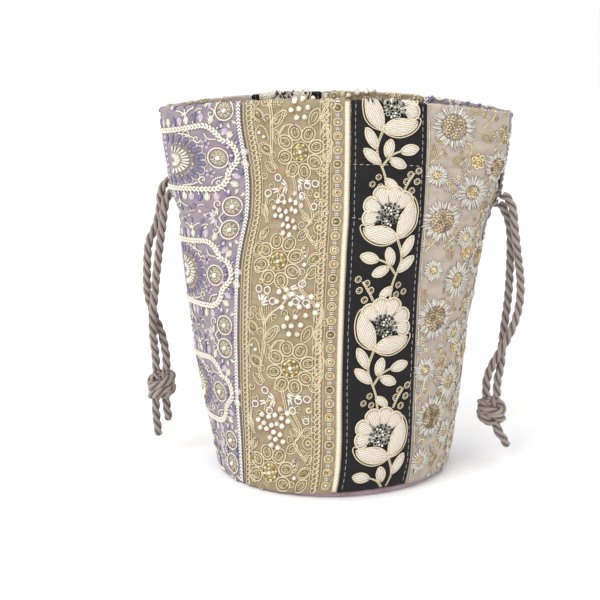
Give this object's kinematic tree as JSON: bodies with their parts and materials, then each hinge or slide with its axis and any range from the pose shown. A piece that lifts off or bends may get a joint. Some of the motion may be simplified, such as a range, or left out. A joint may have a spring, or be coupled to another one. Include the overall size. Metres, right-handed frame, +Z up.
{
  "type": "drawstring reticule",
  "caption": "Soft drawstring evening bag of embroidered ribbon strips on a round base, with a stitched casing and knotted drawcords that leave it at the side seams.",
  "frame": {"origin": "centre of the body's box on the surface that it stands on", "axes": "+Z up through the mouth, -Y towards the front, +X to the right as seen from the front"},
  "size_m": [0.2378, 0.148, 0.23],
  "materials": {
    "lavender_ribbon": "silk-like ribbon with cream and purple embroidery",
    "beige_ribbon": "beige net ribbon with gold embroidery and pearls",
    "black_ribbon": "black silk ribbon with raised cream flowers",
    "grey_ribbon": "grey ribbon with silver embroidered daisies",
    "base_cloth": "plain mauve cloth",
    "satin_cord": "twisted satin rope"
  },
  "bodies": {
    "root": {"lavender_panel_front": "lavender_ribbon", "beige_panel_front": "beige_ribbon", "black_panel_front": "black_ribbon", "grey_panel_front": "grey_ribbon", "lavender_panel_back": "lavender_ribbon", "beige_panel_back": "beige_ribbon", "black_panel_back": "black_ribbon", "grey_panel_back": "grey_ribbon", "base_disc": "base_cloth", "casing_cord_right": "satin_cord", "casing_cord_left": "satin_cord", "strand_right_outer": "satin_cord", "strand_right_inner": "satin_cord", "strand_left_outer": "satin_cord", "strand_left_inner": "satin_cord", "knot_right": "satin_cord", "knot_left": "satin_cord"}
  },
  "joints": []
}
